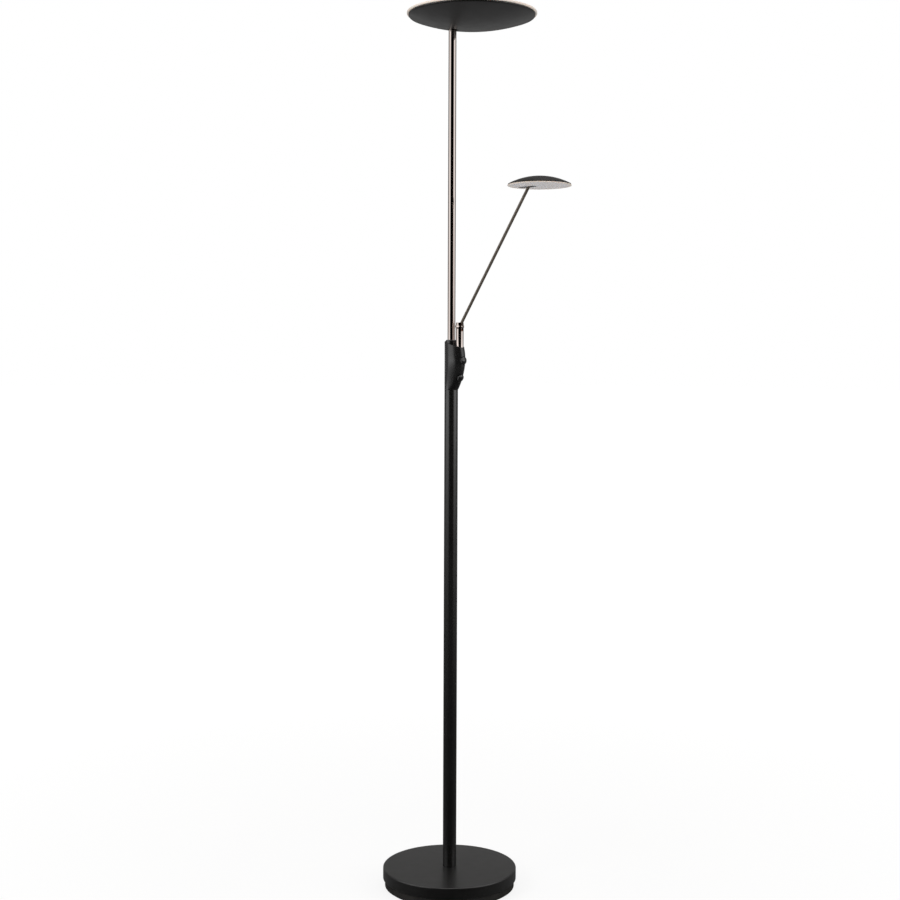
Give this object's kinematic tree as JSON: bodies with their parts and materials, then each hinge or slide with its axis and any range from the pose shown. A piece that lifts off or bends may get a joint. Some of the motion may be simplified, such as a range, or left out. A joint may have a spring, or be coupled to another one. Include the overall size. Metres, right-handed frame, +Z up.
{
  "type": "torchiere floor lamp with reading light",
  "caption": "Floor lamp with a round weighted base, two-part pole, dimmer housing, tilting uplight dish and a swivelling reading arm with a small disc head.",
  "frame": {"origin": "on the floor, at the middle of the round base and on the axis of the pole", "axes": "+Z up along the pole; +X the way the housing's nose, the knobs, the reading arm and the dish's longer side reach; +Y completes a right-handed set and is square to the lamp's mirror plane"},
  "size_m": [0.4319, 0.2772, 1.79],
  "materials": {
    "foot_pad": "closed-cell foam",
    "cast_weight": "as cast, primed",
    "black_satin_metal": "satin powder coat",
    "black_rubber": "matt",
    "zinc_steel": "zinc plated",
    "chrome_tube": "polished",
    "black_plastic": "fine moulded grain",
    "knob_plastic": "satin",
    "circuit_green": "solder mask",
    "pot_case": "moulded",
    "brass_bush": "turned",
    "nylon": "natural nylon",
    "arm_finish": "dark satin",
    "opal_ring": "frosted acrylic",
    "opal_cover": "opal diffuser",
    "heat_plate": "mill finish",
    "led_board": "white solder mask",
    "led_chip": "phosphor",
    "driver_case": "moulded"
  },
  "bodies": {
    "stand": {"base_pad": "foot_pad", "base_weight": "cast_weight", "base_cover": "black_satin_metal", "cord_grommet": "black_rubber", "pole_stud": "zinc_steel", "stud_washer": "zinc_steel", "stud_nut": "zinc_steel", "foot_plug": "zinc_steel", "lower_pole": "black_satin_metal", "pole_coupler": "heat_plate", "clamp_screws": "zinc_steel", "control_housing": "black_plastic", "housing_cap": "black_plastic", "pole_collar": "black_plastic", "swivel_bush": "nylon", "main_dimmer": "pot_case", "reading_dimmer": "pot_case", "dimmer_nuts": "brass_bush", "circuit_board": "circuit_green", "upper_pole": "chrome_tube", "pole_top_knuckle": "zinc_steel"},
    "main_knob": {"main_knob": "knob_plastic", "main_knob_shaft": "brass_bush"},
    "reading_knob": {"reading_knob": "knob_plastic", "reading_knob_shaft": "brass_bush"},
    "reading_post": {"reading_post": "chrome_tube", "swivel_washer": "zinc_steel", "swivel_nut": "zinc_steel", "arm_pin": "chrome_tube", "arm_pin_nut": "chrome_tube", "arm_friction_washers": "nylon"},
    "reading_arm": {"arm_lower_eye": "arm_finish", "arm_tube": "arm_finish", "arm_upper_eye": "arm_finish"},
    "reading_head": {"reading_dome": "black_satin_metal", "reading_ring": "opal_ring", "reading_diffuser": "opal_cover", "reading_heat_plate": "heat_plate", "reading_led_board": "led_board", "reading_head_screws": "zinc_steel", "reading_leds": "led_chip", "reading_hinge_ears": "zinc_steel", "reading_hinge_pin": "zinc_steel", "reading_hinge_washers": "nylon"},
    "main_head": {"main_dish": "black_satin_metal", "main_ring": "opal_ring", "main_diffuser": "opal_cover", "main_heat_plate": "heat_plate", "main_led_board": "led_board", "main_leds": "led_chip", "main_plate_screws": "zinc_steel", "main_bracket_screws": "zinc_steel", "main_tilt_bracket": "zinc_steel", "main_tilt_pin": "zinc_steel", "main_tilt_nut": "zinc_steel", "main_tilt_washers": "nylon", "main_driver": "driver_case"}
  },
  "joints": [
    {"name": "main_head_tilt", "type": "hinge", "parent": "stand", "child": "main_head", "pos_m": [0, 0, 1.7755], "axis": [0, 1, 0], "range_deg": [-10, 20]},
    {"name": "main_knob_turn", "type": "hinge", "parent": "stand", "child": "main_knob", "pos_m": [0.03171, 0, 1.09489], "axis": [-0.9981, 0, 0.061], "range_deg": [0, 280]},
    {"name": "reading_knob_turn", "type": "hinge", "parent": "stand", "child": "reading_knob", "pos_m": [0.02363, 0, 1.0601], "axis": [-0.9272, 0, 0.3746], "range_deg": [0, 280]},
    {"name": "post_swivel", "type": "hinge", "parent": "stand", "child": "reading_post", "pos_m": [0.0232, 0, 1.11848], "axis": [0, 0, 1], "range_deg": [-140, 140]},
    {"name": "arm_lift", "type": "hinge", "parent": "reading_post", "child": "reading_arm", "pos_m": [0.0232, 0, 1.1644], "axis": [0, 1, 0], "range_deg": [-20, 70]},
    {"name": "reading_head_tilt", "type": "hinge", "parent": "reading_arm", "child": "reading_head", "pos_m": [0.20943, 0, 1.44082], "axis": [0, 1, 0], "range_deg": [-25, 60]}
  ]
}
